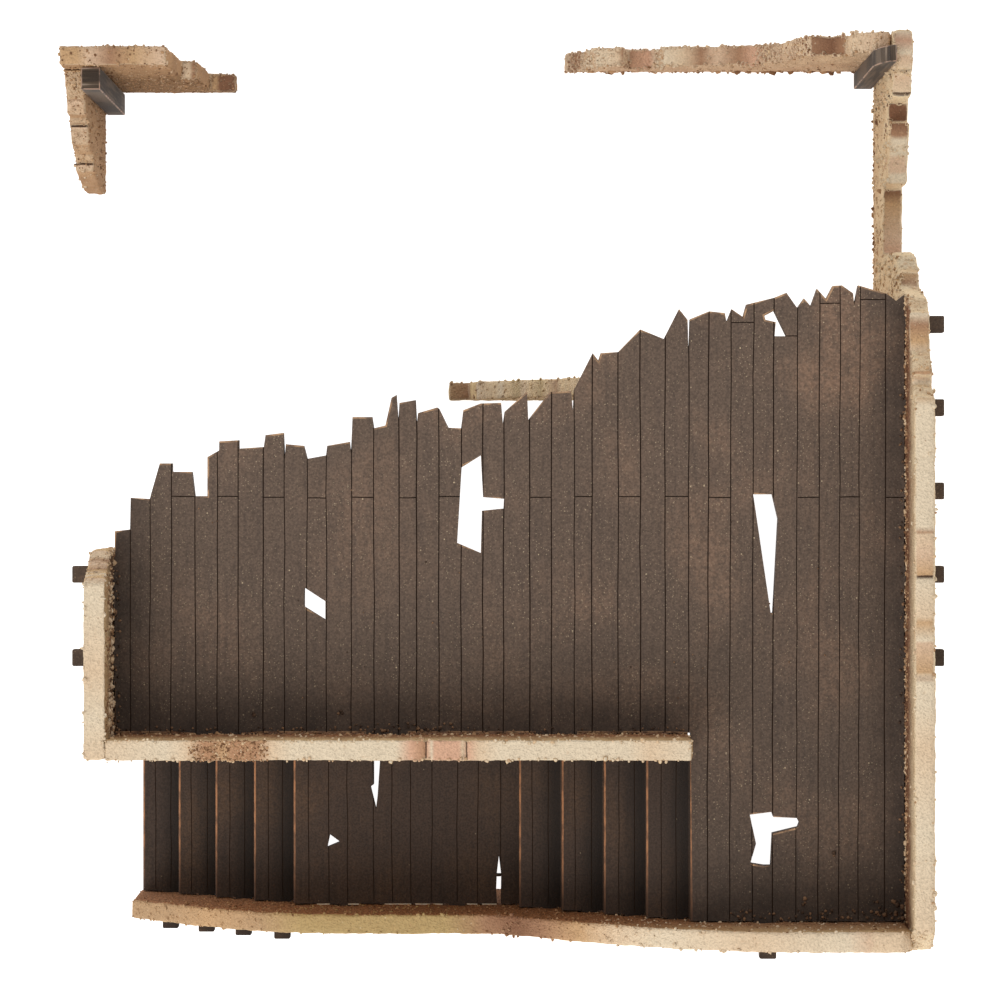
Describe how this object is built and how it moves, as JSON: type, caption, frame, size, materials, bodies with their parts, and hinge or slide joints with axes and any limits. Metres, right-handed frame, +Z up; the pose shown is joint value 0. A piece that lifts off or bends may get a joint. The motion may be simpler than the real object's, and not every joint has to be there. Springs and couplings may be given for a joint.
{
  "type": "miniature terrain ruin",
  "caption": "Ruined two-storey adobe house for tabletop games: sanded walls, a broken plank upper floor on tabs, a stair behind a sweeping parapet, and a loose wall corner.",
  "frame": {"origin": "middle of the footprint, on the table under the ruin", "axes": "+X towards the whole side wall on the right, +Y from the stair towards the ruined back, +Z up"},
  "size_m": [0.1577, 0.1675, 0.088],
  "materials": {
    "sand_render": "board coated with fine sand, painted cream, matte",
    "brown_render": "board coated with coarse sand, painted olive tan and brown, matte",
    "dark_planks": "stained dark grey-brown with worn tan edges, matte",
    "stair_wood": "stained near-black brown with worn tan front edges, matte",
    "charred_post": "charred grey-brown with pale dry-brushed edges, matte"
  },
  "bodies": {
    "house": {"floor_panel": "dark_planks", "right_wall": "sand_render", "back_wall": "sand_render", "left_wall": "sand_render", "front_wall": "sand_render", "stair_parapet": "sand_render", "partition_wall": "brown_render", "corner_post": "charred_post", "tread_1": "stair_wood", "tread_2": "stair_wood", "tread_3": "stair_wood", "tread_4": "stair_wood", "tread_5": "stair_wood", "tread_6": "stair_wood", "tread_7": "stair_wood", "tread_8": "stair_wood", "stair_landing": "stair_wood", "riser_01": "stair_wood", "riser_02": "stair_wood", "riser_03": "stair_wood", "riser_04": "stair_wood", "riser_05": "stair_wood", "riser_06": "stair_wood", "riser_07": "stair_wood", "riser_08": "stair_wood", "riser_09": "stair_wood", "riser_10": "stair_wood"},
    "loose_corner": {"loose_back_wall": "brown_render", "loose_side_wall": "brown_render", "loose_corner_post": "charred_post"}
  },
  "joints": [
    {"name": "loose_corner_lift", "type": "slide", "parent": "house", "child": "loose_corner", "axis": [0, 0, 1], "range_m": [0, 0.08]}
  ]
}
